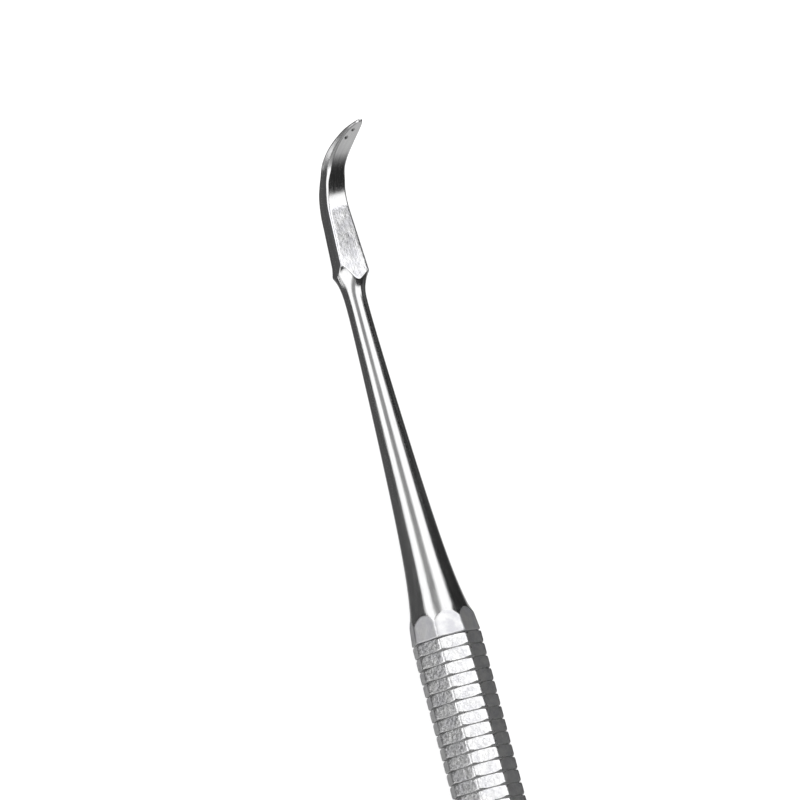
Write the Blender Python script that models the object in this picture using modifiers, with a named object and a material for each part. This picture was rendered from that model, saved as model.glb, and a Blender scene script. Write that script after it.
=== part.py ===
"""Curved dental elevator, built in metres.

A forged working end (blade, neck, tapered shank, octagonal collar and tang in one piece) is
brazed into a hollow octagonal handle with turned grip grooves. A plug closes the handle's
rear end. Every piece is modelled upright on the handle's axis, with the butt end at z = 0 and
the blade at the top. The parent empty then lays the instrument down along +Y, so that the
origin is the centre of the butt end and one flat of the handle faces up. The blade hooks
upwards, in line with the handle's corner to the right of that flat.
"""

import math

import bmesh
import bpy
from mathutils import Matrix

MM = 0.001

# Whole instrument
OVERALL_LENGTH = 165.0 * MM
ACROSS_FLATS = 8.0 * MM
FIT_GAP = 0.3 * MM                 # clearance between two pieces that meet
CUTTER_OVERRUN = 1.0 * MM          # how far a cutter reaches past the piece it shapes
ROUND_SEGMENTS = 48                # shank, collar and bore
GRIP_SEGMENTS = 16                 # a facet on each corner and each flat of the octagon

# Working end: the shank runs from the seam with the handle to the foot of the blade
SHANK_LENGTH = 44.0 * MM
NECK_RADIUS = 1.235 * MM
SHANK_TAPER = 1.73 * MM            # radius gained evenly down the shank
SHANK_TAPER_POWER = 1.36
SHANK_TAPER_LENGTH = 46.0 * MM
COLLAR_FLARE = 1.53 * MM           # radius gained by the flare just above the collar
COLLAR_FLARE_LENGTH = 4.86 * MM
COLLAR_BEAD = 0.20 * MM           # soft shoulder turned below the flats' arches
COLLAR_BEAD_HEIGHT = 2.1 * MM
COLLAR_BEAD_SPREAD = 0.80 * MM
NECK_FLARE = 0.30 * MM             # radius gained where the neck widens into the blade
NECK_FLARE_LENGTH = 1.3 * MM
NECK_RUN_OUT = 2.5 * MM            # the neck dies into the blade's back over this length
NECK_TIP_RADIUS = 0.42 * MM
COLLAR_FLAT_TAPER = 0.105          # the flats of the collar close in by this much per unit height
COLLAR_FLAT_HEIGHT = 7.0 * MM
TANG_RADIUS = 1.9 * MM
TANG_LENGTH = 20.0 * MM
TANG_POINT = 1.5 * MM
TANG_END_RADIUS = 1.3 * MM

# Blade: a straight length, a tight bend and an easier bend up to the point
BLADE_TURN = math.pi / 8           # from the middle of a flat to a corner of the handle
BLADE_STRAIGHT = 8.1 * MM
BEND_RADIUS = 8.2 * MM
BEND_ANGLE = math.radians(63.5)
POINT_RADIUS = 22.0 * MM
POINT_ANGLE = math.radians(16.5)
BLADE_OFFSET = 0.70 * MM           # the blade sits forward of the shank's axis
BLADE_ROOT_WIDTH = 3.95 * MM
BLADE_WAIST_WIDTH = 2.75 * MM
BLADE_WAIST = 0.5                  # share of the blade's length where the sides run parallel
BLADE_ROOT_THICKNESS = 2.6 * MM
BLADE_BEND_THICKNESS = 2.4 * MM
BLADE_BEND_SHARE = 0.36            # share of the blade's length where it starts to thin
BLADE_TIP_THICKNESS = 0.45 * MM
BLADE_THINNING = 1.3               # 1.0 thins evenly, larger thins early
BLADE_POINT_LENGTH = 7.0 * MM      # the edges close in to the tip over this length
BLADE_POINT_FULLNESS = 0.5         # 0.5 is a half-round tip, larger is sharper
SHOULDER_LENGTH = 1.5 * MM
BLADE_STATIONS = 40
SHANK_STATIONS = 26
SHANK_CROWDING = 1.5               # 1.0 spaces the stations evenly, larger crowds them at the collar

# Handle tube
BORE_RADIUS = 2.2 * MM
GROOVE_PITCH = 1.55 * MM
GROOVE_COUNT = 57
GROOVE_ROOT_RADIUS = 3.88 * MM
GROOVE_HALF_ANGLE = math.radians(38.0)
GRIP_BLANK_RADIUS = 4.4 * MM       # just outside the octagon's corners
FILLER_POCKET_RADIUS = 2.9 * MM
FILLER_POCKET_DEPTH = 1.1 * MM

# Braze filler rings
FILLER_RING_RADIUS = 2.4 * MM
FILLER_WIRE_RADIUS = 0.2 * MM

# End plug
PLUG_HEAD_HEIGHT = 3.0 * MM
PLUG_FACE_RADIUS = 2.4 * MM
PLUG_SPIGOT_LENGTH = 9.0 * MM
SPIGOT_END_RADIUS = 1.5 * MM
SPIGOT_POINT = 0.8 * MM            # length of the spigot's chamfer
DOME_STEPS = 8

APOTHEM = ACROSS_FLATS / 2
TIP_SLOPE = BEND_ANGLE + POINT_ANGLE
BLADE_LENGTH = BLADE_STRAIGHT + BEND_RADIUS * BEND_ANGLE + POINT_RADIUS * POINT_ANGLE
BLADE_RISE = (BLADE_STRAIGHT + BEND_RADIUS * math.sin(BEND_ANGLE)
              + POINT_RADIUS * (math.sin(TIP_SLOPE) - math.sin(BEND_ANGLE)))
BLADE_FOOT = OVERALL_LENGTH - BLADE_RISE
SEAM_HEIGHT = BLADE_FOOT - SHANK_LENGTH


# ---------------------------------------------------------------- scene helpers

def clear_scene():
    for item in list(bpy.data.objects):
        bpy.data.objects.remove(item, do_unlink=True)


def new_collection(name):
    collection = bpy.data.collections.new(name)
    bpy.context.scene.collection.children.link(collection)
    return collection


def steel(name, colour, roughness):
    material = bpy.data.materials.new(name)
    material.use_nodes = True
    shader = material.node_tree.nodes["Principled BSDF"]
    shader.inputs["Base Color"].default_value = (*colour, 1.0)
    shader.inputs["Metallic"].default_value = 1.0
    shader.inputs["Roughness"].default_value = roughness
    return material


def add_object(name, mesh, collection, parent, material=None):
    item = bpy.data.objects.new(name, mesh)
    collection.objects.link(item)
    item.parent = parent
    if material:
        mesh.materials.append(material)
    return item


def make_cutter(item):
    item.hide_render = True
    item.display_type = "WIRE"


def add_boolean(item, cutter, operation):
    modifier = item.modifiers.new(operation.lower(), "BOOLEAN")
    modifier.operation = operation
    modifier.solver = "EXACT"
    modifier.object = cutter
    return modifier


# ---------------------------------------------------------------- shape helpers

def turned(name, outline, collection, parent, segments, material=None):
    """Revolve (radius, height) points, listed from the top down, about the upright axis."""
    shape = bmesh.new()
    points = [shape.verts.new((radius, 0.0, height)) for radius, height in outline]
    for upper, lower in zip(points, points[1:]):
        shape.edges.new((upper, lower))
    mesh = bpy.data.meshes.new(name)
    shape.to_mesh(mesh)
    shape.free()
    item = add_object(name, mesh, collection, parent, material)
    screw = item.modifiers.new("revolve", "SCREW")
    screw.axis = "Z"
    screw.angle = 2 * math.pi
    screw.steps = segments
    screw.render_steps = segments
    screw.use_merge_vertices = True
    screw.merge_threshold = 0.00001
    return item


def octagonal_bar(name, stations, collection, parent):
    """An octagonal bar through (apothem, height) stations from the bottom up."""
    shape = bmesh.new()
    apothem, height = stations[0]
    place = Matrix.Translation((0, 0, height)) @ Matrix.Rotation(math.pi / 8, 4, "Z")
    bmesh.ops.create_circle(shape, segments=8, radius=apothem / math.cos(math.pi / 8), matrix=place)
    ring = shape.edges[:]
    for next_apothem, next_height in stations[1:]:
        moved = bmesh.ops.extrude_edge_only(shape, edges=ring)["geom"]
        corners = [part for part in moved if isinstance(part, bmesh.types.BMVert)]
        ring = [part for part in moved if isinstance(part, bmesh.types.BMEdge)
                and all(corner in corners for corner in part.verts)]
        factor = next_apothem / apothem
        bmesh.ops.translate(shape, verts=corners, vec=(0, 0, next_height - height))
        bmesh.ops.scale(shape, verts=corners, vec=(factor, factor, 1))
        apothem, height = next_apothem, next_height
    bmesh.ops.holes_fill(shape, edges=[edge for edge in shape.edges if edge.is_boundary])
    bmesh.ops.recalc_face_normals(shape, faces=shape.faces[:])
    mesh = bpy.data.meshes.new(name)
    shape.to_mesh(mesh)
    shape.free()
    return add_object(name, mesh, collection, parent)


def outline_plate(name, outline, half_thickness, turn, collection, parent):
    """A flat closed outline given a thickness, turned into place and made a mesh."""
    curve = bpy.data.curves.new(name, "CURVE")
    curve.dimensions = "2D"
    curve.fill_mode = "BOTH"
    curve.extrude = half_thickness
    spline = curve.splines.new("POLY")
    spline.points.add(len(outline) - 1)
    for point, (across, along) in zip(spline.points, outline):
        point.co = (across, along, 0.0, 1.0)
    spline.use_cyclic_u = True
    source = bpy.data.objects.new(name + "_outline", curve)
    bpy.context.scene.collection.objects.link(source)
    graph = bpy.context.evaluated_depsgraph_get()
    mesh = bpy.data.meshes.new_from_object(source.evaluated_get(graph))
    bpy.data.objects.remove(source, do_unlink=True)
    shape = bmesh.new()
    shape.from_mesh(mesh)
    bmesh.ops.remove_doubles(shape, verts=shape.verts[:], dist=0.000001)
    bmesh.ops.transform(shape, matrix=turn, verts=shape.verts[:])
    bmesh.ops.recalc_face_normals(shape, faces=shape.faces[:])
    shape.to_mesh(mesh)
    shape.free()
    mesh.name = name
    return add_object(name, mesh, collection, parent)


def shade_round(item):
    item.data.shade_smooth()


# ---------------------------------------------------------------- outlines

def shank_radius(height):
    """Radius of the turned shank at a height above the seam."""
    share = 1.0 - height / SHANK_TAPER_LENGTH
    taper = SHANK_TAPER * share ** SHANK_TAPER_POWER
    flare = COLLAR_FLARE * math.exp(-height / COLLAR_FLARE_LENGTH)
    bead = COLLAR_BEAD * math.exp(-((height - COLLAR_BEAD_HEIGHT) / COLLAR_BEAD_SPREAD) ** 2)
    foot = NECK_FLARE * math.exp((height - SHANK_LENGTH) / NECK_FLARE_LENGTH)
    return NECK_RADIUS + taper + flare + bead + foot


def blade_centre(distance):
    """Height, forward reach and slope of the blade's centre line, a distance along it."""
    if distance <= BLADE_STRAIGHT:
        return BLADE_FOOT + distance, BLADE_OFFSET, 0.0
    bend = (distance - BLADE_STRAIGHT) / BEND_RADIUS
    slope = min(bend, BEND_ANGLE)
    height = BLADE_FOOT + BLADE_STRAIGHT + BEND_RADIUS * math.sin(slope)
    reach = BLADE_OFFSET + BEND_RADIUS * (1.0 - math.cos(slope))
    if bend > BEND_ANGLE:
        rest = distance - BLADE_STRAIGHT - BEND_RADIUS * BEND_ANGLE
        slope = BEND_ANGLE + rest / POINT_RADIUS
        height += POINT_RADIUS * (math.sin(slope) - math.sin(BEND_ANGLE))
        reach += POINT_RADIUS * (math.cos(BEND_ANGLE) - math.cos(slope))
    return height, reach, slope


def blade_thickness(distance):
    """Nearly even up to the bend, then thinning to the tip."""
    share = distance / BLADE_LENGTH
    if share < BLADE_BEND_SHARE:
        change = BLADE_BEND_THICKNESS - BLADE_ROOT_THICKNESS
        return BLADE_ROOT_THICKNESS + change * share / BLADE_BEND_SHARE
    left = (1.0 - share) / (1.0 - BLADE_BEND_SHARE)
    change = BLADE_BEND_THICKNESS - BLADE_TIP_THICKNESS
    return BLADE_TIP_THICKNESS + change * left ** BLADE_THINNING


def from_neck(neck, full, distance):
    """Round the blade's shoulder from the neck out to its full size."""
    if distance >= SHOULDER_LENGTH:
        return full
    rise = 1.0 - distance / SHOULDER_LENGTH
    return neck + (full - neck) * math.sqrt(1.0 - rise * rise)


def blade_half_width(distance):
    """Half the blade's width: rounded shoulders, an even taper, then a rounded point."""
    share = min(1.0, distance / BLADE_LENGTH / BLADE_WAIST)
    half = (BLADE_ROOT_WIDTH + (BLADE_WAIST_WIDTH - BLADE_ROOT_WIDTH) * share) / 2
    half = from_neck(shank_radius(SHANK_LENGTH), half, distance)
    to_point = BLADE_LENGTH - distance
    if to_point < BLADE_POINT_LENGTH:
        gone = 1.0 - to_point / BLADE_POINT_LENGTH
        half *= max(0.0, 1.0 - gone * gone) ** BLADE_POINT_FULLNESS
    return half


def blade_distances():
    """Stations along the blade, closer together at the shoulders and the point."""
    steps = [0.5 - 0.5 * math.cos(math.pi * i / BLADE_STATIONS) for i in range(BLADE_STATIONS + 1)]
    return [BLADE_LENGTH * step for step in steps]


def blade_side_outline():
    """Side view of the blade as (reach, height): up its hollow front, down its back."""
    front = []
    back = []
    neck = shank_radius(SHANK_LENGTH) - BLADE_OFFSET
    for distance in blade_distances():
        height, reach, slope = blade_centre(distance)
        half = blade_thickness(distance) / 2
        rise = from_neck(neck, half, distance)
        front.append((reach + rise * math.cos(slope), height - rise * math.sin(slope)))
        back.append((reach - half * math.cos(slope), height + half * math.sin(slope)))
    return front + back[::-1]


def blade_plan_outline():
    """Front view of the blade as (half-width, height), drawn round both edges."""
    right = []
    for distance in blade_distances():
        height, _reach, _slope = blade_centre(distance)
        right.append((blade_half_width(distance), height))
    left = [(-half, height) for half, height in reversed(right[:-1])]
    return right + left


# ---------------------------------------------------------------- pieces

def make_working_end(parts, cutters, parent, material):
    """Blade, neck, shank, octagonal collar and tang: one forging."""
    face = SEAM_HEIGHT + FIT_GAP / 2
    neck = shank_radius(SHANK_LENGTH)
    outline = [(0.0, BLADE_FOOT + NECK_RUN_OUT), (NECK_TIP_RADIUS, BLADE_FOOT + NECK_RUN_OUT),
               (neck, BLADE_FOOT)]
    first = FIT_GAP / 2
    for i in range(1, SHANK_STATIONS + 1):
        share = (1.0 - i / SHANK_STATIONS) ** SHANK_CROWDING
        height = first + (SHANK_LENGTH - first) * share
        outline.append((shank_radius(height), SEAM_HEIGHT + height))
    outline += [(TANG_RADIUS, face), (TANG_RADIUS, face - TANG_LENGTH + TANG_POINT),
                (TANG_END_RADIUS, face - TANG_LENGTH), (0.0, face - TANG_LENGTH)]
    working_end = turned("working_end", outline, parts, parent, ROUND_SEGMENTS, material)
    working_end.rotation_euler.z = math.pi / ROUND_SEGMENTS

    shank_apothem = APOTHEM - COLLAR_FLAT_TAPER * COLLAR_FLAT_HEIGHT
    flats = octagonal_bar("collar_flats",
                          [(APOTHEM, face - TANG_LENGTH - CUTTER_OVERRUN), (APOTHEM, SEAM_HEIGHT),
                           (shank_apothem, SEAM_HEIGHT + COLLAR_FLAT_HEIGHT),
                           (shank_apothem, BLADE_FOOT + 5 * CUTTER_OVERRUN)], cutters, parent)
    make_cutter(flats)
    add_boolean(working_end, flats, "INTERSECT")

    # Both outlines are stood up so that the blade hooks towards local -Y, then turned into line.
    turn = Matrix.Rotation(BLADE_TURN, 4, "Z")
    seen_from_side = Matrix(((0, 0, 1, 0), (-1, 0, 0, 0), (0, 1, 0, 0), (0, 0, 0, 1)))
    seen_from_front = Matrix(((1, 0, 0, 0), (0, 0, 1, 0), (0, 1, 0, 0), (0, 0, 0, 1)))
    side = outline_plate("blade_side_view", blade_side_outline(), BLADE_ROOT_WIDTH,
                         turn @ seen_from_side, cutters, parent)
    plan = outline_plate("blade_front_view", blade_plan_outline(), 2 * ACROSS_FLATS,
                         turn @ seen_from_front, cutters, parent)
    make_cutter(side)
    make_cutter(plan)
    add_boolean(side, plan, "INTERSECT")
    add_boolean(working_end, side, "UNION")
    shade_round(working_end)
    return working_end


def grooved_outline(top, bottom):
    """Outline of the grip blank with its V grooves, from the top down."""
    lip = (GRIP_BLANK_RADIUS - GROOVE_ROOT_RADIUS) * math.tan(GROOVE_HALF_ANGLE)
    seam_lip = SEAM_HEIGHT - lip
    end_radius = GROOVE_ROOT_RADIUS + FIT_GAP / 2 / math.tan(GROOVE_HALF_ANGLE)
    outline = [(0.0, top), (end_radius, top), (GRIP_BLANK_RADIUS, seam_lip)]
    for number in range(1, GROOVE_COUNT + 1):
        centre = SEAM_HEIGHT - number * GROOVE_PITCH
        outline += [(GRIP_BLANK_RADIUS, centre + lip), (GROOVE_ROOT_RADIUS, centre),
                    (GRIP_BLANK_RADIUS, centre - lip)]
    outline += [(GRIP_BLANK_RADIUS, bottom + lip - FIT_GAP / 2), (end_radius, bottom), (0.0, bottom)]
    return outline


def make_handle_tube(parts, cutters, parent, material):
    """Hollow octagonal grip with turned grooves and a filler pocket in each mouth."""
    top = SEAM_HEIGHT - FIT_GAP / 2
    bottom = PLUG_HEAD_HEIGHT + FIT_GAP
    half_facet = math.pi / GRIP_SEGMENTS
    outline = [(radius / math.cos(half_facet), height) for radius, height in grooved_outline(top, bottom)]
    tube = turned("handle_tube", outline, parts, parent, GRIP_SEGMENTS, material)
    tube.rotation_euler.z = half_facet
    over = CUTTER_OVERRUN
    flats = octagonal_bar("handle_flats", [(APOTHEM, bottom - over), (APOTHEM, top + over)],
                          cutters, parent)
    make_cutter(flats)
    add_boolean(tube, flats, "INTERSECT")
    bore = turned("handle_bore",
                  [(0.0, top + over), (FILLER_POCKET_RADIUS, top + over),
                   (FILLER_POCKET_RADIUS, top - FILLER_POCKET_DEPTH),
                   (BORE_RADIUS, top - FILLER_POCKET_DEPTH),
                   (BORE_RADIUS, bottom + FILLER_POCKET_DEPTH),
                   (FILLER_POCKET_RADIUS, bottom + FILLER_POCKET_DEPTH),
                   (FILLER_POCKET_RADIUS, bottom - over), (0.0, bottom - over)],
                  cutters, parent, ROUND_SEGMENTS)
    make_cutter(bore)
    add_boolean(tube, bore, "DIFFERENCE")
    return tube


def make_end_plug(parts, cutters, parent, material):
    """Domed octagonal cap with a spigot that fills the rear of the bore."""
    spigot_top = PLUG_HEAD_HEIGHT + PLUG_SPIGOT_LENGTH
    lip_radius = GROOVE_ROOT_RADIUS + FIT_GAP / 2 / math.tan(GROOVE_HALF_ANGLE)
    lip = (GRIP_BLANK_RADIUS - lip_radius) * math.tan(GROOVE_HALF_ANGLE)
    outline = [(0.0, spigot_top), (SPIGOT_END_RADIUS, spigot_top),
               (TANG_RADIUS, spigot_top - SPIGOT_POINT), (TANG_RADIUS, PLUG_HEAD_HEIGHT),
               (lip_radius, PLUG_HEAD_HEIGHT), (GRIP_BLANK_RADIUS, PLUG_HEAD_HEIGHT - lip)]
    dome = GRIP_BLANK_RADIUS - PLUG_FACE_RADIUS
    for i in range(DOME_STEPS + 1):
        angle = math.pi / 2 * i / DOME_STEPS
        outline.append((PLUG_FACE_RADIUS + dome * math.cos(angle), dome * (1.0 - math.sin(angle))))
    outline.append((0.0, 0.0))
    plug = turned("end_plug", outline, parts, parent, ROUND_SEGMENTS, material)
    over = CUTTER_OVERRUN
    flats = octagonal_bar("plug_flats", [(APOTHEM, -over), (APOTHEM, spigot_top + over)],
                          cutters, parent)
    make_cutter(flats)
    add_boolean(plug, flats, "INTERSECT")
    shade_round(plug)
    return plug


def make_filler_ring(name, height, parts, parent, material):
    """Braze filler ring lying in a mouth of the tube, round the tang or the spigot."""
    bpy.ops.mesh.primitive_torus_add(major_radius=FILLER_RING_RADIUS, minor_radius=FILLER_WIRE_RADIUS,
                                     major_segments=32, minor_segments=8)
    ring = bpy.context.object
    ring.name = name
    ring.data.name = name
    for owner in list(ring.users_collection):
        owner.objects.unlink(ring)
    parts.objects.link(ring)
    ring.parent = parent
    ring.location = (0.0, 0.0, height)
    ring.data.materials.append(material)
    shade_round(ring)
    return ring


def main():
    clear_scene()
    parts = new_collection("dental_elevator")
    cutters = new_collection("cutters")
    axis = bpy.data.objects.new("handle_axis", None)
    bpy.context.scene.collection.objects.link(axis)
    axis.rotation_euler = (-math.pi / 2, 0.0, 0.0)

    bright = steel("bright_steel", (0.62, 0.62, 0.62), 0.22)
    satin = steel("satin_steel", (0.55, 0.55, 0.55), 0.32)
    filler = steel("silver_filler", (0.72, 0.69, 0.60), 0.38)

    make_working_end(parts, cutters, axis, bright)
    make_handle_tube(parts, cutters, axis, satin)
    make_end_plug(parts, cutters, axis, satin)
    pocket_middle = FILLER_POCKET_DEPTH / 2
    make_filler_ring("front_braze_ring", SEAM_HEIGHT - FIT_GAP / 2 - pocket_middle, parts, axis, filler)
    make_filler_ring("rear_braze_ring", PLUG_HEAD_HEIGHT + FIT_GAP + pocket_middle, parts, axis, filler)


main()
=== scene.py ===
"""Looks of a curved dental elevator: a forged steel working end brazed into a ribbed octagonal
handle. The instrument lies along +Y with its butt end at y = 0 and one flat of the handle up."""

import math

import bmesh
import bpy
from mathutils import Matrix, Vector


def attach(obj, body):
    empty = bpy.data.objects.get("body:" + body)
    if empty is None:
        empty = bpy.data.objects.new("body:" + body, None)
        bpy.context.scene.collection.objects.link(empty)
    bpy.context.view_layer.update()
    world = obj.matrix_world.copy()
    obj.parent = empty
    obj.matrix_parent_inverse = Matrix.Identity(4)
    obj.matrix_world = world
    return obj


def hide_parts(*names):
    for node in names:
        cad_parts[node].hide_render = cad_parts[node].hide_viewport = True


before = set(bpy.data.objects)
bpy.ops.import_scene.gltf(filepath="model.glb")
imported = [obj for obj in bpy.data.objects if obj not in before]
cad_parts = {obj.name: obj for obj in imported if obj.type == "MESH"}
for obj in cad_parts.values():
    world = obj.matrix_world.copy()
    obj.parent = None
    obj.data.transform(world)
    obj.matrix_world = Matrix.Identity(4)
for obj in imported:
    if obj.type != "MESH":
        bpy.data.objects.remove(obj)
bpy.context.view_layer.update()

MM = 0.001                     # sizes are in millimetres, and the scene is in metres


# ------------------------------------------------------------------ working end
# Blade, neck, tapered shank and octagonal collar, forged in one piece of stainless steel.
# The shank is turned and polished lengthwise; the flats of the collar and of the blade are
# ground. A round tang, hidden in the handle, is brazed into the bore.

SEAM = 103.58                  # height of the joint with the handle
SHANK_LENGTH = 44.0            # from the joint up to the blade's foot
NECK_RADIUS = 1.235
TAPER = 1.73                   # what the taper adds to the neck's radius at the collar
TAPER_LENGTH = 46.0
TAPER_CURVE = 1.36
COLLAR_FLARE = 1.53            # swelling of the shank into the collar
COLLAR_FLARE_REACH = 4.86
NECK_FLARE = 0.30              # swelling of the neck into the blade's foot
NECK_FLARE_REACH = 1.3
NECK_FLARE_END = 5.0           # the flare stops growing this far up the blade
BEAD = 0.20                    # soft shoulder turned under the arches of the collar
BEAD_HEIGHT = 2.1
BEAD_REACH = 0.80
COLLAR_SLOPE = 0.105           # the collar's flats lean in towards the shank
COLLAR_FLATS = 7.0             # height at which they stop leaning in
TANG_RADIUS = 1.9
TANG_LENGTH = 20.0
TANG_POINT = 1.3               # radius of the tang's tapered end
TANG_TAPER = 1.5
HALF_GAP = 0.03                # the braze closes the joint to a hairline
APOTHEM = 4.0                  # half the width across the handle's flats
GROOVE_ROOT = 3.88
LIP_SLOPE = 3.4                # steepness of the chamfer round the joint
STRAIGHT = 8.02                # straight length of the blade
BEND_RADIUS = 8.2
BEND = math.radians(63.5)
POINT_RADIUS = 22.0
POINT = math.radians(16.5)
BLADE_LENGTH = STRAIGHT + BEND_RADIUS * BEND + POINT_RADIUS * POINT
ROOT_THICKNESS = 2.6
BEND_THICKNESS = 2.4
TIP_THICKNESS = 0.45
THINNING_START = 0.36          # share of the blade's length where it starts to thin
THINNING_CURVE = 1.3
TIP_ROUND = 0.25               # length of the rounding at the tip
BACK_FULLNESS = 0.20           # the back is a little fuller round the bend
ROOT_WIDTH = 3.95
WAIST_WIDTH = 2.75             # width from the middle of the blade's length on
POINT_LENGTH = 7.0             # length over which the sides close in to the point
FRONT_CHAMFER = 0.24
BACK_ROUND = 0.28
BEVEL_LEAN = math.radians(18.0)
ARRIS = 0.012                  # how far the grinder's edges are rounded
LOOK_FADE = 0.03               # depth over which a ground flat's look fades in
FOOT_BACK = 1.75               # the foot's back lies this far behind the shank's axis
FOOT_LENGTH = 2.6              # length over which the foot runs into the blade
FOOT_RAISED = 0.30             # the foot is cut higher on the left
FOOT_LOWERED = 0.80            # and lower on the right
FORWARD = 0.58                 # the blade sits forward of the shank's axis
HOOK_TURN = math.pi / 8        # the blade hooks in line with a corner of the octagon

SHANK_STREAKS = ((0.60, 0.60, 0.605), (0.70, 0.70, 0.70))
SHANK_ROUGHNESS = (0.15, 0.21)
FLAT_CLOUDS = ((0.75, 0.75, 0.785), (0.92, 0.92, 0.92))
BLADE_ROUGHNESS = (0.26, 0.17)
COLLAR_ROUGHNESS = (0.52, 0.45)


def soft_min(values, blend):
    """The smallest of the values, with the crossings rounded over about twice the blend."""
    low = min(values)
    return low - blend * math.log(sum(math.exp(-min(60.0, (v - low) / blend)) for v in values))


def smooth_step(start, end, value):
    """Rises smoothly from nothing at the start to one at the end."""
    share = min(1.0, max(0.0, (value - start) / (end - start)))
    return share * share * (3.0 - 2.0 * share)


def octagon(angle, apothem, rounding=0.05):
    """Distance from the axis to an octagonal bar's surface, its corners slightly rounded."""
    fold = (angle + math.pi / 8) % (math.pi / 4) - math.pi / 8
    sides = [apothem / math.cos(fold + turn * math.pi / 4) for turn in (-1, 0, 1)]
    return soft_min(sides, rounding)


def ring_bar(name, rows, columns, place, capped=True):
    """A bar of rings: a plain drum is cut into rows, and each corner is moved to its own place.
    place(row, column) gives the point and its notes, which the mesh keeps as attributes. A
    capped bar is closed at both ends, and an open one is joined end to end, as a tube."""
    shape = bmesh.new()
    bmesh.ops.create_cone(shape, cap_ends=capped, cap_tris=True, segments=columns,
                          radius1=1.0, radius2=1.0, depth=rows - 1.0)
    uprights = [edge for edge in shape.edges
                if abs(edge.verts[0].co.z - edge.verts[1].co.z) > 0.5]
    bmesh.ops.subdivide_edges(shape, edges=uprights, cuts=rows - 2)
    step = 2.0 * math.pi / columns
    notes = []
    for corner in shape.verts:
        row = round(corner.co.z + (rows - 1.0) / 2.0)
        middle = math.hypot(corner.co.x, corner.co.y) < 0.5
        column = None if middle else round(math.atan2(corner.co.x, corner.co.y) / step) % columns
        point, note = place(row, column)
        corner.co = Vector(point) * MM
        notes.append(note)
    if not capped:
        bmesh.ops.bridge_loops(shape, edges=[edge for edge in shape.edges if edge.is_boundary])
    bmesh.ops.recalc_face_normals(shape, faces=shape.faces[:])
    mesh = bpy.data.meshes.new(name)
    shape.to_mesh(mesh)
    shape.free()
    mesh.shade_smooth()
    for title, sample in notes[0].items():
        in_space = isinstance(sample, Vector)
        marks = mesh.attributes.new(title, "FLOAT_VECTOR" if in_space else "FLOAT", "POINT")
        for mark, note in zip(marks.data, notes):
            if in_space:
                mark.vector = note[title]
            else:
                mark.value = note[title]
    piece = bpy.data.objects.new(name, mesh)
    bpy.context.scene.collection.objects.link(piece)
    return piece


def shank_radius(height):
    """Radius of the turned shank at a height above the joint."""
    taper = TAPER * max(0.0, 1.0 - height / TAPER_LENGTH) ** TAPER_CURVE
    below = COLLAR_FLARE * math.exp(-height / COLLAR_FLARE_REACH)
    above = NECK_FLARE * math.exp((height - SHANK_LENGTH) / NECK_FLARE_REACH)
    bead = BEAD * math.exp(-((height - BEAD_HEIGHT) / BEAD_REACH) ** 2)
    return NECK_RADIUS + taper + below + above + bead


def blade_line(distance):
    """Height above the blade's foot, forward reach and slope of the blade's centre line."""
    if distance <= STRAIGHT:
        return distance, FORWARD, 0.0
    slope = min((distance - STRAIGHT) / BEND_RADIUS, BEND)
    height = STRAIGHT + BEND_RADIUS * math.sin(slope)
    reach = FORWARD + BEND_RADIUS * (1.0 - math.cos(slope))
    rest = distance - STRAIGHT - BEND_RADIUS * BEND
    if rest > 0.0:
        slope = BEND + rest / POINT_RADIUS
        height += POINT_RADIUS * (math.sin(slope) - math.sin(BEND))
        reach += POINT_RADIUS * (math.cos(BEND) - math.cos(slope))
    return height, reach, slope


def blade_half_thickness(distance):
    """The distance is measured along the blade's centre line, from its foot."""
    share = max(0.0, distance / BLADE_LENGTH)
    if share < THINNING_START:
        half = (ROOT_THICKNESS - (ROOT_THICKNESS - BEND_THICKNESS) * share / THINNING_START) / 2.0
    else:
        left = max(0.0, (1.0 - share) / (1.0 - THINNING_START))
        half = (TIP_THICKNESS + (BEND_THICKNESS - TIP_THICKNESS) * left ** THINNING_CURVE) / 2.0
    end = TIP_ROUND - (BLADE_LENGTH - distance)
    return half * math.sqrt(max(0.05, 1.0 - (end / TIP_ROUND) ** 2)) if end > 0.0 else half


def blade_half_width(distance):
    """Narrows evenly to the waist, and closes in an arc at the point."""
    share = min(1.0, max(0.0, 2.0 * distance / BLADE_LENGTH))
    half = (ROOT_WIDTH - (ROOT_WIDTH - WAIST_WIDTH) * share) / 2.0
    gone = 1.0 - (BLADE_LENGTH - distance) / POINT_LENGTH
    return half * max(0.0, 1.0 - gone * gone) ** 0.5 if gone > 0.0 else half


def spread(start, end, count):
    """Heights at even steps, up to but not including the end."""
    return [start + (end - start) * i / count for i in range(count)]


# Heights of the mesh's rings above the joint, close together at the collar, foot and blade.
END_COLUMNS = 192
TIP = SHANK_LENGTH + BLADE_LENGTH
stations = (spread(HALF_GAP, 9.0, 84) + spread(9.0, 41.0, 36) + spread(41.0, SHANK_LENGTH, 16)
            + spread(SHANK_LENGTH, 47.2, 40) + spread(47.2, 52.0, 14) + spread(52.0, 61.2, 46)
            + spread(61.2, TIP - 0.3, 96)
            + [TIP - left for left in (0.3, 0.22, 0.15, 0.09, 0.05, 0.02, 0.0)])
tang_rows = [(-TANG_LENGTH + HALF_GAP, TANG_POINT),
             (-TANG_LENGTH + HALF_GAP + TANG_TAPER, TANG_RADIUS), (HALF_GAP, TANG_RADIUS)]
NECK_MARGIN = 2.0              # the blade's section starts this far below its foot

# Two shallow dents of use in the blade's front: (distance along the blade, sideways).
nicks = [(BLADE_LENGTH - 2.0, -0.16), (BLADE_LENGTH - 3.45, -0.48)]
NICK_LENGTH = 0.21
NICK_WIDTH = 0.17
NICK_DEPTH = 0.19
hook = Vector((math.sin(HOOK_TURN), 0.0, math.cos(HOOK_TURN)))
across = Vector((math.cos(HOOK_TURN), 0.0, -math.sin(HOOK_TURN)))


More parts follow.
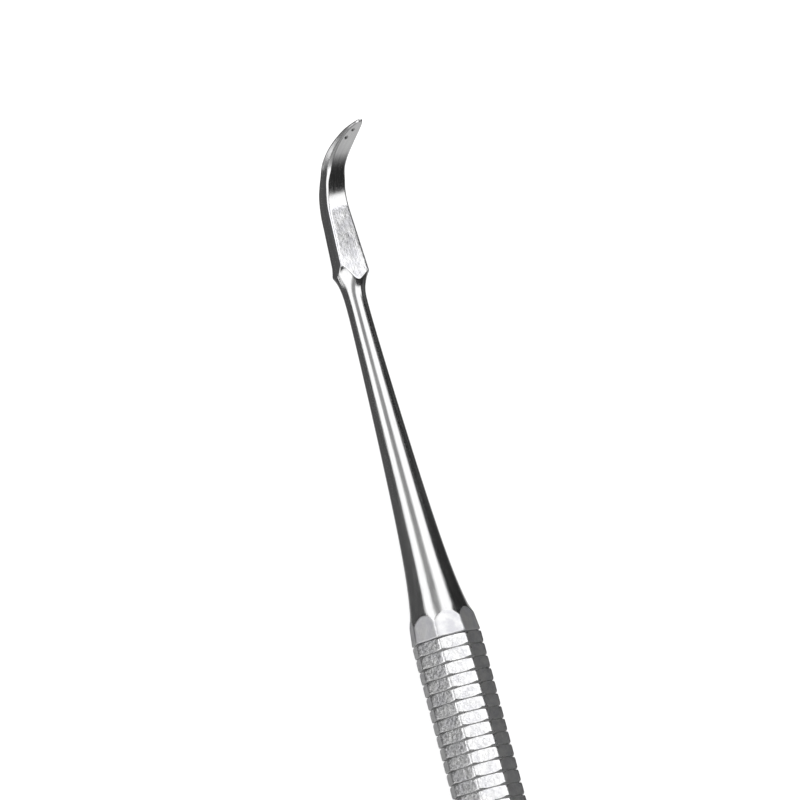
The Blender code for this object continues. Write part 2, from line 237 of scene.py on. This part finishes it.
def collar_and_shank(height, angle):
    """Radius of the turned shank, cut by the collar's flats and the joint's chamfer, and the
    share of a ground flat in its look."""
    turned = shank_radius(height)
    flats = octagon(angle, APOTHEM - COLLAR_SLOPE * min(height, COLLAR_FLATS))
    lip = GROOVE_ROOT + max(0.0, height - HALF_GAP) * LIP_SLOPE
    ground = smooth_step(LOOK_FADE, -LOOK_FADE, flats - turned)
    return soft_min([turned, flats, lip], ARRIS), ground


def blade_section(distance, angle):
    """A point of the blade's cross-section about its centre line: (sideways, forward, ground)."""
    half = blade_half_thickness(distance)
    width = blade_half_width(distance)
    centre = -FORWARD * (1.0 - smooth_step(-1.0, FOOT_LENGTH, distance))
    run_in = smooth_step(-0.8, FOOT_LENGTH, distance)
    back = (FOOT_BACK + FORWARD) * (1.0 - run_in) + half * run_in
    back *= 1.0 - 0.5 * smooth_step(BLADE_LENGTH - 3.0, BLADE_LENGTH - 0.3, distance)
    back += BACK_FULLNESS * math.exp(-((distance - STRAIGHT - 3.2) / 2.0) ** 2)
    # A hand-held grind is never quite flat: the front turns by a few degrees along its length.
    middle_turn = 0.9 * math.exp(-((distance - 5.6) / 1.5) ** 2)
    foot_turn = -1.3 * smooth_step(4.6, 2.2, distance)
    whole_turn = -3.0 * smooth_step(STRAIGHT + 4.0, STRAIGHT - 0.5, distance)
    hand = math.radians(middle_turn + foot_turn + whole_turn)
    side, ahead = math.sin(angle), math.cos(angle)
    lean = BEVEL_LEAN * smooth_step(STRAIGHT + 4.6, STRAIGHT + 7.0, distance)
    chamfer = min(FRONT_CHAMFER, 0.3 * half, 0.5 * width + 0.001)
    back_round = min(BACK_ROUND, 0.8 * half, 0.5 * width + 0.001)
    planes = []

    def cut(normal_side, normal_ahead, reach):
        """A plane of the section: the way it faces, and its distance from the centre line."""
        facing = side * normal_side + ahead * normal_ahead
        if facing > 0.0001:
            planes.append((reach - centre * normal_ahead) / facing)

    cut(math.sin(hand), math.cos(hand), half)
    cut(0.0, -1.0, back)
    for way in (-1.0, 1.0):
        cut(way * math.cos(lean), math.sin(lean), width * math.cos(lean))
        edge = width - math.tan(lean) * half
        cut(way * math.sqrt(0.5), math.sqrt(0.5), (edge + half - chamfer) * math.sqrt(0.5))
        cut(way * math.sqrt(0.5), -math.sqrt(0.5),
            (width + math.tan(lean) * half + back - back_round) * math.sqrt(0.5))
    flats = soft_min(planes, min(0.02, 0.12 * half, 0.06 * width + 0.0005))
    # The front flat runs further down into the neck on the right than on the left.
    turn = math.degrees(math.atan2(side, ahead))
    skew = -FOOT_RAISED + (FOOT_RAISED + FOOT_LOWERED) * smooth_step(-60.0, 10.0, turn)
    skew *= smooth_step(88.0, 60.0, abs(turn)) * smooth_step(-NECK_MARGIN, 0.0, distance)
    neck = shank_radius(SHANK_LENGTH + min(distance + skew, NECK_FLARE_END))
    offset = (centre + FORWARD) * ahead
    inside = neck ** 2 - (centre + FORWARD) ** 2 + offset ** 2
    flare = -offset + math.sqrt(max(0.01, inside))
    radius = soft_min([flats, flare], ARRIS)
    sideways, forward = radius * side, centre + radius * ahead
    ground = smooth_step(LOOK_FADE, -LOOK_FADE, flats - flare)
    ground *= smooth_step(0.2, 0.5, ahead) * smooth_step(STRAIGHT + 3.0, STRAIGHT + 0.9, distance)
    if forward > 0.5 * half:
        for along, sidestep in nicks:
            away = math.hypot((distance - along) / NICK_LENGTH, (sideways - sidestep) / NICK_WIDTH)
            forward -= NICK_DEPTH * math.exp(-away ** 2)
    return sideways, forward, ground


def working_end_point(row, column):
    """A corner's place, with its place before the bar was bent and its share of a ground flat."""
    angle = 0.0 if column is None else 2.0 * math.pi * column / END_COLUMNS
    if row < len(tang_rows):
        height, radius = tang_rows[row]
        radius = 0.0 if column is None else radius
        point = (radius * math.sin(angle), SEAM + height, radius * math.cos(angle))
        straight, ground = point, 0.0
    else:
        height = stations[row - len(tang_rows)]
        distance = height - SHANK_LENGTH
        if distance < -NECK_MARGIN:
            radius, ground = collar_and_shank(height, angle)
            point = (radius * math.sin(angle), SEAM + height, radius * math.cos(angle))
            straight = point
        else:
            sideways, forward, ground = blade_section(distance, angle - HOOK_TURN)
            if column is None:
                sideways, forward = 0.0, 0.0
            rise, reach, slope = blade_line(distance)
            axis_point = Vector((0.0, SEAM + SHANK_LENGTH + rise, 0.0)) + hook * reach
            front = hook * math.cos(slope) - Vector((0.0, math.sin(slope), 0.0))
            point = axis_point + across * sideways + front * forward
            straight = (Vector((0.0, SEAM + height, 0.0)) + across * sideways
                        + hook * (FORWARD + forward))
    return point, {"straight": Vector(straight) * MM, "ground": ground}


end_rows = len(tang_rows) + len(stations)
working_end = ring_bar("forged_working_end", end_rows, END_COLUMNS, working_end_point)


def wire(tree, start, end):
    tree.links.new(start, end)


def stretched_noise(tree, vector, scale, detail, roughness=0.5):
    """Noise whose grain is 1/scale metres along each axis."""
    mapping = tree.nodes.new("ShaderNodeMapping")
    mapping.inputs["Scale"].default_value = scale
    wire(tree, vector, mapping.inputs["Vector"])
    noise = tree.nodes.new("ShaderNodeTexNoise")
    noise.inputs["Scale"].default_value = 1.0
    noise.inputs["Detail"].default_value = detail
    noise.inputs["Roughness"].default_value = roughness
    wire(tree, mapping.outputs["Vector"], noise.inputs["Vector"])
    return noise.outputs["Fac"]


def ranged(tree, value, low, high, new_low, new_high, smooth=True):
    """A value carried from one range to another; the ends may be numbers or sockets."""
    node = tree.nodes.new("ShaderNodeMapRange")
    node.interpolation_type = "SMOOTHSTEP" if smooth else "LINEAR"
    wire(tree, value, node.inputs["Value"])
    for title, number in (("From Min", low), ("From Max", high),
                          ("To Min", new_low), ("To Max", new_high)):
        if isinstance(number, (int, float)):
            node.inputs[title].default_value = number
        else:
            wire(tree, number, node.inputs[title])
    return node.outputs["Result"]


def maths(tree, operation, first, second):
    """One operation on two values, each a number or a socket."""
    node = tree.nodes.new("ShaderNodeMath")
    node.operation = operation
    for socket, number in zip(node.inputs, (first, second)):
        if isinstance(number, (int, float)):
            socket.default_value = number
        else:
            wire(tree, number, socket)
    return node.outputs["Value"]


def group_tree(name, takes, gives):
    """A node group with its named sockets, and the nodes at its two ends."""
    tree = bpy.data.node_groups.new(name, "ShaderNodeTree")
    for title, kind, value in takes:
        socket = tree.interface.new_socket(title, in_out="INPUT", socket_type=kind)
        if value is not None:
            socket.default_value = value
    for title, kind in gives:
        tree.interface.new_socket(title, in_out="OUTPUT", socket_type=kind)
    return tree, tree.nodes.new("NodeGroupInput"), tree.nodes.new("NodeGroupOutput")


# Polishing marks: fine lines that run with the piece, in broad soft streaks and narrow scratches.
polish, polish_in, polish_out = group_tree(
    "lengthwise_polish",
    [("Vector", "NodeSocketVector", None), ("Scratches", "NodeSocketFloat", 0.5)],
    [("Lines", "NodeSocketFloat"), ("Streaks", "NodeSocketFloat")])
fine = stretched_noise(polish, polish_in.outputs["Vector"], (9000.0, 260.0, 9000.0), 3.0)
broad = stretched_noise(polish, polish_in.outputs["Vector"], (1900.0, 90.0, 1900.0), 4.0, 0.6)
scratch = ranged(polish, stretched_noise(polish, polish_in.outputs["Vector"],
                                         (5200.0, 420.0, 5200.0), 1.0), 0.70, 0.78, 0.0, 1.0)
scratch = maths(polish, "MULTIPLY", scratch, polish_in.outputs["Scratches"])
wire(polish, maths(polish, "SUBTRACT", fine, scratch), polish_out.inputs["Lines"])
wire(polish, ranged(polish, broad, 0.3, 0.7, 0.0, 1.0), polish_out.inputs["Streaks"])

# Tumbled surface: soft dents and cloudy patches left by the ceramic chips of the finishing drum.
tumbled, tumbled_in, tumbled_out = group_tree(
    "tumbled_surface",
    [("Vector", "NodeSocketVector", None), ("Patchiness", "NodeSocketFloat", 1.0)],
    [("Clouds", "NodeSocketFloat"), ("Dents", "NodeSocketFloat"), ("Specks", "NodeSocketFloat"),
     ("Grain", "NodeSocketFloat")])
clouds = stretched_noise(tumbled, tumbled_in.outputs["Vector"], (700.0, 700.0, 700.0), 5.0, 0.6)
dents = stretched_noise(tumbled, tumbled_in.outputs["Vector"], (2600.0, 2600.0, 2600.0), 3.0, 0.55)
specks = stretched_noise(tumbled, tumbled_in.outputs["Vector"], (4200.0, 4200.0, 4200.0), 1.0)
wire(tumbled, maths(tumbled, "MULTIPLY", ranged(tumbled, clouds, 0.32, 0.68, 0.0, 1.0),
                    tumbled_in.outputs["Patchiness"]), tumbled_out.inputs["Clouds"])
wire(tumbled, dents, tumbled_out.inputs["Dents"])
grain = stretched_noise(tumbled, tumbled_in.outputs["Vector"], (3400.0, 3400.0, 3400.0), 4.0, 0.6)
wire(tumbled, ranged(tumbled, grain, 0.38, 0.62, 0.0, 1.0), tumbled_out.inputs["Grain"])
wire(tumbled, ranged(tumbled, specks, 0.66, 0.74, 0.0, 1.0), tumbled_out.inputs["Specks"])


def add_group(tree, group, vector, **values):
    """Places a node group in a material with its own values, and returns what it gives."""
    node = tree.nodes.new("ShaderNodeGroup")
    node.node_tree = group
    wire(tree, vector, node.inputs["Vector"])
    for title, value in values.items():
        node.inputs[title].default_value = value
    return node.outputs


def steel_material(name):
    """A metal with its shader's own constants set; colour, roughness and normal are wired in."""
    material = bpy.data.materials.new(name)
    material.use_nodes = True
    shader = material.node_tree.nodes["Principled BSDF"]
    shader.inputs["Metallic"].default_value = 1.0
    return material, material.node_tree, shader


def blend_colours(tree, share, first, second):
    """Goes from the first colour to the second; each may be three numbers or a socket."""
    node = tree.nodes.new("ShaderNodeMix")
    node.data_type = "RGBA"
    wire(tree, share, node.inputs["Factor"])
    for socket, colour in ((node.inputs["A"], first), (node.inputs["B"], second)):
        if isinstance(colour, tuple):
            socket.default_value = (*colour, 1.0)
        else:
            wire(tree, colour, socket)
    return node.outputs["Result"]


def raised(tree, heights, shader):
    """Stacks bumps, each (height, strength, depth in millimetres), and wires them to the shader."""
    normal = None
    for height, strength, depth in heights:
        bump = tree.nodes.new("ShaderNodeBump")
        bump.inputs["Strength"].default_value = strength
        bump.inputs["Distance"].default_value = depth * MM
        wire(tree, height, bump.inputs["Height"])
        if normal is not None:
            wire(tree, normal, bump.inputs["Normal"])
        normal = bump.outputs["Normal"]
    wire(tree, normal, shader.inputs["Normal"])


def attribute(tree, title, output):
    node = tree.nodes.new("ShaderNodeAttribute")
    node.attribute_name = title
    return node.outputs[output]


bright_steel, tree, shader = steel_material("polished_forging")
straight = attribute(tree, "straight", "Vector")
ground = attribute(tree, "ground", "Fac")
lines = add_group(tree, polish, straight, Scratches=0.5)
drum = add_group(tree, tumbled, straight, Patchiness=1.0)
shank_colour = blend_colours(tree, lines["Streaks"], *SHANK_STREAKS)
flat_colour = blend_colours(tree, drum["Clouds"], *FLAT_CLOUDS)
wire(tree, blend_colours(tree, ground, shank_colour, flat_colour), shader.inputs["Base Color"])
shank_rough = ranged(tree, lines["Streaks"], 0.0, 1.0, *SHANK_ROUGHNESS)
blade_rough = ranged(tree, drum["Grain"], 0.0, 1.0, *BLADE_ROUGHNESS)
collar_rough = ranged(tree, drum["Clouds"], 0.0, 1.0, *COLLAR_ROUGHNESS)
along = tree.nodes.new("ShaderNodeSeparateXYZ")
wire(tree, straight, along.inputs["Vector"])
# The collar's flats lie below 120 mm along the instrument, and the blade's above 130 mm.
flat_rough = ranged(tree, along.outputs["Y"], 0.12, 0.13, collar_rough, blade_rough, smooth=False)
wire(tree, ranged(tree, ground, 0.0, 1.0, shank_rough, flat_rough, smooth=False),
     shader.inputs["Roughness"])
raised(tree, [(lines["Lines"], 0.35, 0.012),
              (maths(tree, "MULTIPLY", drum["Clouds"], ground), 0.35, 0.03),
              (maths(tree, "MULTIPLY", drum["Dents"], ground), 0.3, 0.03)], shader)
working_end.data.materials.append(bright_steel)
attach(working_end, "root")
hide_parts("working_end")


# ------------------------------------------------------------------ handle tube
# Hollow octagonal grip of stainless bar, bored through, with V grooves turned round it before
# the whole handle was tumbled satin. The grooves are shallow on the flats and deep at the
# corners, where the ribs between them stand as rounded lobes.

TUBE_TOP = SEAM - HALF_GAP
REAR_SEAM = 3.15               # height of the joint with the end plug
TUBE_BOTTOM = REAR_SEAM + HALF_GAP
PITCH = 1.55                   # from one groove to the next
GROOVES = 57
BORE = 2.2
POCKET = 2.9                   # radius of the braze ring's pocket at each mouth
POCKET_DEPTH = 1.1
ROOT_HALF_WIDTH = 0.035
GROOVE_MOUTH = (0.065, 0.11)   # half width of a groove's mouth, on a flat and at a corner
GROOVE_ROUND = (0.02, 0.24)    # length of the rounding beside it
GROOVE_DROP = (0.006, 0.076)   # how far the rounding drops

BODY_CLOUDS = ((0.72, 0.72, 0.745), (0.88, 0.88, 0.875))
SPECK_COLOUR = (0.94, 0.94, 0.94)
RUBBED_COLOUR = (0.93, 0.93, 0.93)
# Painted shade: the grey that the bottoms of the grooves, the bore and the joint faces are darkened
# to.
RECESS_SHADE_COLOUR = (0.46, 0.46, 0.46)
SATIN_ROUGHNESS = (0.44, 0.28)
RUBBED_ROUGHNESS = 0.26
RECESS_ROUGHNESS = 0.55

# Angles of the mesh's columns, close together at the middle of each corner, in degrees.
facet_steps = [-22.5, -15.0, -9.0, -5.2, -2.8, -1.2, 0.0, 1.2, 2.8, 5.2, 9.0, 15.0]
tube_angles = [math.radians(22.5 + 45.0 * facet + step)
               for facet in range(8) for step in facet_steps]
TUBE_COLUMNS = len(tube_angles)


def between(pair, share):
    """A value at a share of the way from the first of a pair to the second."""
    return pair[0] + (pair[1] - pair[0]) * share


def groove_row(centre, way, kind):
    """A row of the tube beside one groove: (height, radius, wear, painted shade) for each angle.
    The way is 1 above the groove's centre and -1 below it."""
    def row(angle):
        rib = octagon(angle, APOTHEM)
        off_corner = abs((angle % (math.pi / 4)) - math.pi / 8)
        corner = smooth_step(math.radians(13.0), math.radians(1.5), off_corner)
        lip = between(GROOVE_MOUTH, corner)
        rounding = between(GROOVE_ROUND, corner)
        drop = between(GROOVE_DROP, corner)
        if kind == "root":
            return centre + way * ROOT_HALF_WIDTH, GROOVE_ROOT, 0.0, 1.0
        if kind == "wall":
            return centre + way * lip, rib - drop, 0.1, 0.7
        if kind == "lip":
            return centre + way * (lip + 0.25 * rounding), rib - 0.45 * drop, 0.8, 0.0
        if kind == "crown":
            return centre + way * (lip + 0.6 * rounding), rib - 0.12 * drop, 0.6 + 0.4 * corner, 0.0
        return centre + way * (lip + rounding + 0.02), rib, 0.6 * corner, 0.0
    return row


def plain_row(height):
    """A row across the middle of a rib, worn most along its corners."""
    return lambda angle: (height, octagon(angle, APOTHEM), octagon(angle, APOTHEM) - APOTHEM, 0.0)


def round_row(height, radius):
    """A row of a round bore or joint face, which handling never rubs, darkened with painted shade.
    """
    return lambda angle: (height, radius, 0.0, 0.8)


tube_rows = [round_row(TUBE_TOP, GROOVE_ROOT)]
tube_rows += [groove_row(SEAM, -1, kind) for kind in ("wall", "lip", "crown", "land")]
tube_rows.append(plain_row(SEAM - PITCH / 2))
for number in range(1, GROOVES + 1):
    middle = SEAM - number * PITCH
    tube_rows += [groove_row(middle, 1, kind) for kind in ("land", "crown", "lip", "wall", "root")]
    tube_rows += [groove_row(middle, -1, kind) for kind in ("root", "wall", "lip", "crown", "land")]
    tube_rows.append(plain_row(middle - PITCH / 2))
tube_rows += [groove_row(REAR_SEAM, 1, kind) for kind in ("land", "crown", "lip", "wall")]
tube_rows += [round_row(TUBE_BOTTOM, GROOVE_ROOT),
              round_row(TUBE_BOTTOM, POCKET), round_row(TUBE_BOTTOM + POCKET_DEPTH, POCKET),
              round_row(TUBE_BOTTOM + POCKET_DEPTH, BORE),
              round_row(TUBE_TOP - POCKET_DEPTH, BORE), round_row(TUBE_TOP - POCKET_DEPTH, POCKET),
              round_row(TUBE_TOP, POCKET)]


def tube_point(row, column):
    angle = tube_angles[column]
    height, radius, wear, grime = tube_rows[row](angle)
    point = (radius * math.sin(angle), height, radius * math.cos(angle))
    return point, {"wear": min(1.0, wear), "grime": grime}


handle = ring_bar("ribbed_handle", len(tube_rows), TUBE_COLUMNS, tube_point, capped=False)

# Rubbed edges: the high lips and corners are polished bright by handling, in broken patches.
rubbed, rubbed_in, rubbed_out = group_tree(
    "rubbed_edges",
    [("Vector", "NodeSocketVector", None), ("Wear", "NodeSocketFloat", 0.0)],
    [("Mask", "NodeSocketFloat")])
patches = stretched_noise(rubbed, rubbed_in.outputs["Vector"], (1500.0, 1500.0, 1500.0), 3.0)
wire(rubbed, maths(rubbed, "MULTIPLY", rubbed_in.outputs["Wear"],
                   ranged(rubbed, patches, 0.35, 0.6, 0.2, 1.0)), rubbed_out.inputs["Mask"])


def satin_material(name):
    """Satin tumbled steel: rubbed bright at its edges, with painted shade darkening the bottom of
    its grooves to a dull grey.
    """
    material, tree, shader = steel_material(name)
    place = tree.nodes.new("ShaderNodeTexCoord").outputs["Object"]
    drum = add_group(tree, tumbled, place, Patchiness=1.0)
    lines = add_group(tree, polish, place, Scratches=0.3)
    edges = tree.nodes.new("ShaderNodeGroup")
    edges.node_tree = rubbed
    wire(tree, place, edges.inputs["Vector"])
    wire(tree, attribute(tree, "wear", "Fac"), edges.inputs["Wear"])
    grime = attribute(tree, "grime", "Fac")
    body = blend_colours(tree, drum["Clouds"], *BODY_CLOUDS)
    body = blend_colours(tree, drum["Specks"], body, SPECK_COLOUR)
    body = blend_colours(tree, edges.outputs["Mask"], body, RUBBED_COLOUR)
    # Painted shade: the colour darkens towards a dull grey in the grooves' bottoms, the bore and
    # the joint faces.
    wire(tree, blend_colours(tree, grime, body, RECESS_SHADE_COLOUR), shader.inputs["Base Color"])
    rough = ranged(tree, drum["Grain"], 0.0, 1.0, *SATIN_ROUGHNESS)
    rough = ranged(tree, edges.outputs["Mask"], 0.0, 1.0, rough, RUBBED_ROUGHNESS, smooth=False)
    wire(tree, ranged(tree, grime, 0.0, 0.7, rough, RECESS_ROUGHNESS, smooth=False),
         shader.inputs["Roughness"])
    raised(tree, [(drum["Dents"], 0.75, 0.07), (lines["Lines"], 0.25, 0.01)], shader)
    return material


satin_steel = satin_material("satin_grip")
handle.data.materials.append(satin_steel)
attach(handle, "root")
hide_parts("handle_tube")


# ------------------------------------------------------------------ end plug
# Solid cap of the same octagonal bar that closes the handle. Its butt is domed down to a small
# flat face, and its spigot is brazed into the rear of the bore.

SPIGOT_END = 12.0              # height of the spigot's inner end above the butt
SPIGOT_POINT = 1.5             # radius of its tapered end
SPIGOT_TAPER = 0.8
HEAD_TOP = REAR_SEAM - HALF_GAP
FACE_RADIUS = 2.4
DOME = 2.0
DOME_STEPS = 28

# Rows of the plug from the spigot down to the butt: (height, radius).
plug_rows = [(SPIGOT_END, SPIGOT_POINT), (SPIGOT_END - SPIGOT_TAPER, TANG_RADIUS),
             (HEAD_TOP, TANG_RADIUS), (HEAD_TOP, GROOVE_ROOT)]
HIDDEN_ROWS = len(plug_rows)   # the rows inside the tube and the joint
rounded_edge = ((0.06, 4.05), (0.12, 4.20), (0.25, 4.32), (0.45, 4.40))
plug_rows += [(HEAD_TOP - depth, radius) for depth, radius in rounded_edge]
dome_turns = [math.pi / 2 * step / DOME_STEPS for step in range(DOME_STEPS + 1)]
plug_rows += [(DOME * (1.0 - math.sin(turn)), FACE_RADIUS + DOME * math.cos(turn))
              for turn in dome_turns]
plug_rows.append((0.0, 0.5 * FACE_RADIUS))


def plug_point(row, column):
    height, radius = plug_rows[row]
    angle = 0.0 if column is None else tube_angles[column]
    rib = octagon(angle, APOTHEM)
    wear = 0.0
    if row >= HIDDEN_ROWS:
        wear = 0.6 * smooth_step(0.12, 0.0, abs(rib - radius))
        radius = soft_min([radius, rib], 0.02)
    if column is None:
        radius = 0.0
    point = (radius * math.sin(angle), height, radius * math.cos(angle))
    # The joint face of the plug's head is darkened with painted shade, like the handle's grooves.
    return point, {"wear": wear, "grime": 1.0 if row == HIDDEN_ROWS - 1 else 0.0}


end_plug = ring_bar("domed_plug", len(plug_rows), TUBE_COLUMNS, plug_point)
end_plug.data.materials.append(satin_steel)
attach(end_plug, "root")
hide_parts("end_plug")


# ------------------------------------------------------------------ braze rings
# Rings of silver filler wire, sunk in a pocket at each mouth of the tube and melted round the
# tang and the spigot. Only a hairline of them shows in the joints.

FILLER_CLOUDS = ((0.55, 0.52, 0.45), (0.72, 0.69, 0.60))
FILLER_ROUGHNESS = (0.48, 0.36)

filler, tree, shader = steel_material("silver_braze")
place = tree.nodes.new("ShaderNodeTexCoord").outputs["Object"]
drum = add_group(tree, tumbled, place, Patchiness=1.0)
wire(tree, blend_colours(tree, drum["Clouds"], *FILLER_CLOUDS), shader.inputs["Base Color"])
wire(tree, ranged(tree, drum["Clouds"], 0.0, 1.0, *FILLER_ROUGHNESS), shader.inputs["Roughness"])
raised(tree, [(drum["Dents"], 0.6, 0.05)], shader)
for node in ("front_braze_ring", "rear_braze_ring"):
    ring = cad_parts[node]
    ring.data.materials.clear()
    ring.data.materials.append(filler)


# ------------------------------------------------------------------ floor, light and camera
# A plain white table, a soft white room, and two long soft boxes above the instrument with a
# grey gap between them, where the camera looks through. Only reflections see the boxes.

TABLE_SIZE = 4.0               # metres
TABLE_DROP = 0.02              # the table lies this far below the handle's lower flat
TABLE_GREY = 0.50
TABLE_GLOW = 0.72

floor_shape = bmesh.new()
bmesh.ops.create_grid(floor_shape, x_segments=1, y_segments=1, size=TABLE_SIZE / 2.0,
                      matrix=Matrix.Translation((0.0, 0.08, -(APOTHEM + TABLE_DROP) * MM)))
floor_mesh = bpy.data.meshes.new("floor")
floor_shape.to_mesh(floor_mesh)
floor_shape.free()
floor = bpy.data.objects.new("floor", floor_mesh)
bpy.context.scene.collection.objects.link(floor)
floor_paint = bpy.data.materials.new("white_table")
floor_paint.use_nodes = True
table_top = floor_paint.node_tree.nodes["Principled BSDF"]
table_top.inputs["Base Color"].default_value = (TABLE_GREY, TABLE_GREY, TABLE_GREY, 1.0)
table_top.inputs["Roughness"].default_value = 0.9
table_top.inputs["Specular IOR Level"].default_value = 0.0
table_top.inputs["Emission Color"].default_value = (1.0, 1.0, 1.0, 1.0)
table_top.inputs["Emission Strength"].default_value = TABLE_GLOW
floor.data.materials.append(floor_paint)
floor.visible_glossy = False

SIDEWAYS = math.radians(10.7)  # the camera stands to the left of the upper flat
TILT = math.radians(8.0)       # and a little towards the butt
ROLL = math.radians(15.0)      # and it is rolled, so that the instrument leans in its view

studio = bpy.data.worlds.new("studio")
bpy.context.scene.world = studio
studio.use_nodes = True
studio.cycles.sampling_method = "NONE"
tree = studio.node_tree
tree.nodes.clear()

# The parts of a direction along the three axes, and its angle round the instrument's length,
# which is nothing on the camera's side and grows to the right.
heading = tree.nodes.new("ShaderNodeSeparateXYZ")
wire(tree, tree.nodes.new("ShaderNodeTexCoord").outputs["Generated"], heading.inputs["Vector"])
to_side, to_tip, up = (heading.outputs[axis] for axis in "XYZ")
round_axis = maths(tree, "ADD", maths(tree, "ARCTAN2", to_side, up), SIDEWAYS)


def window(value, low, high, soft):
    """One inside a range and nothing outside it, with soft edges."""
    rise = ranged(tree, value, low - soft, low + soft, 0.0, 1.0)
    fall = ranged(tree, value, high - soft, high + soft, 1.0, 0.0)
    return maths(tree, "MULTIPLY", rise, fall)


def sector(low, high, soft):
    """A window between two angles round the instrument, in degrees from the camera's side."""
    return window(round_axis, math.radians(low), math.radians(high), math.radians(soft))


def product(first, *others):
    """Masks and levels of light multiplied together."""
    for other in others:
        first = maths(tree, "MULTIPLY", first, other)
    return first


def total(first, *others):
    """Levels of light added together."""
    for other in others:
        first = maths(tree, "ADD", first, other)
    return first


EVERYWHERE = 2.0               # more than any part of a direction can be

# The two soft boxes. The right one is wider towards the butt.
BOX_LIGHT = 1.6
left_box = product(sector(-55.0, -19.0, 5.0), window(to_tip, -0.80, EVERYWHERE, 0.05))
wider = product(sector(50.0, 78.0, 3.0), ranged(tree, to_tip, 0.10, 0.03, 0.0, 1.0))
right_box = maths(tree, "MAXIMUM", sector(14.0, 60.0, 5.0), wider)
right_box = product(right_box, window(to_tip, -0.33, EVERYWHERE, 0.03))
boxes = product(total(left_box, right_box), BOX_LIGHT)

# The grey ceiling between them.
GAP_LIGHT = 0.33
gap = product(sector(-19.0, 14.0, 5.0), window(to_tip, -0.50, EVERYWHERE, 0.05), GAP_LIGHT)

# A dim card to the left of the butt, with a bright strip low on it and a softer one above.
LOW_STRIP_LIGHT = 1.6
HIGH_STRIP_LIGHT = 0.85
CARD_LIGHT = 0.14
card = total(product(window(up, -0.33, -0.235, 0.02), LOW_STRIP_LIGHT),
             product(window(up, 0.02, 0.30, 0.04), HIGH_STRIP_LIGHT),
             product(window(up, -0.33, 0.30, 0.04), CARD_LIGHT))
card = product(window(to_tip, -0.62, -0.12, 0.07), card,
               ranged(tree, to_side, -0.70, -0.60, 1.0, 0.0))

# A grey card nearer to the line of the butt.
CORNER_CARD_LIGHT = 0.40
corner_card = product(window(to_tip, -0.90, -0.66, 0.03), window(up, -0.14, 0.30, 0.06),
                      ranged(tree, to_side, -0.58, -0.48, CORNER_CARD_LIGHT, 0.0))
left_cards = maths(tree, "MAXIMUM", card, corner_card)

# The lit table beyond the butt: brighter the lower it is looked for, up to a limit.
TABLE_LIGHT = 0.88
TABLE_LIMIT = 0.62
depth = ranged(tree, up, 0.04, -0.60, 0.0, 1.0, smooth=False)
table_light = product(maths(tree, "POWER", depth, 1.8), TABLE_LIGHT)
table_light = product(maths(tree, "MINIMUM", table_light, TABLE_LIMIT),
                      ranged(tree, to_tip, -0.36, -0.50, 0.0, 1.0))

# Dim walls to the left and right of the instrument, and the table straight under it.
LEFT_WALL_LIGHT = 0.075
RIGHT_WALL_LIGHT = 0.10
UNDER_LIGHT = 0.40
abreast = window(to_tip, -0.30, 0.60, 0.08)
left_wall = product(sector(-150.0, -62.0, 8.0), abreast, LEFT_WALL_LIGHT)
right_wall = product(sector(94.0, 130.0, 8.0), window(to_tip, -0.30, 0.165, 0.015),
                     RIGHT_WALL_LIGHT)
downward = maths(tree, "COSINE", round_axis, 0.0)
under = product(ranged(tree, downward, -0.80, -0.90, 0.0, UNDER_LIGHT), abreast)

# The room straight past the butt, which the inside of the hook mirrors: darker on the right.
past_butt = product(ranged(tree, to_tip, -0.88, -0.95, 0.0, 1.0),
                    ranged(tree, to_side, -0.10, 0.10, 0.32, 0.07))

DARKEST = 0.032                # no part of the room is quite black
light = total(boxes, gap, left_cards, table_light, left_wall, right_wall, under, past_butt,
              DARKEST)
path = tree.nodes.new("ShaderNodeLightPath")
mirrored = tree.nodes.new("ShaderNodeBackground")
wire(tree, light, mirrored.inputs["Color"])
room = tree.nodes.new("ShaderNodeBackground")
room.inputs["Color"].default_value = (1.0, 1.0, 1.0, 1.0)
room.inputs["Strength"].default_value = 1.0
choose = tree.nodes.new("ShaderNodeMixShader")
wire(tree, path.outputs["Is Glossy Ray"], choose.inputs["Fac"])
wire(tree, room.outputs["Background"], choose.inputs[1])
wire(tree, mirrored.outputs["Background"], choose.inputs[2])
world_out = tree.nodes.new("ShaderNodeOutputWorld")
wire(tree, choose.outputs["Shader"], world_out.inputs["Surface"])

VIEW_WIDTH = 94.7              # width of the view at the instrument
AIM_ASIDE = -5.5               # the view's middle lies this far from the joint, across the view
AIM_AHEAD = 28.3               # and this far up it

to_camera = Vector((-math.sin(SIDEWAYS) * math.cos(TILT), -math.sin(TILT),
                    math.cos(SIDEWAYS) * math.cos(TILT)))
level = Vector((math.cos(SIDEWAYS), 0.0, math.sin(SIDEWAYS)))
upright = to_camera.cross(level)
view_right = level * math.cos(ROLL) - upright * math.sin(ROLL)
view_up = level * math.sin(ROLL) + upright * math.cos(ROLL)
aim = Vector((0.0, SEAM, 0.0)) + view_right * AIM_ASIDE + view_up * AIM_AHEAD
camera_data = bpy.data.cameras.new("camera")
camera_data.sensor_width = 36.0
camera_data.lens = 250.0
camera_data.clip_start = 0.05
camera_data.clip_end = 10.0
camera = bpy.data.objects.new("camera", camera_data)
bpy.context.scene.collection.objects.link(camera)
distance = VIEW_WIDTH * camera_data.lens / camera_data.sensor_width
turn = Matrix((view_right, view_up, to_camera)).transposed().to_4x4()
camera.matrix_world = Matrix.Translation((aim + to_camera * distance) * MM) @ turn
bpy.context.scene.camera = camera
bpy.context.scene.view_settings.view_transform = "Standard"
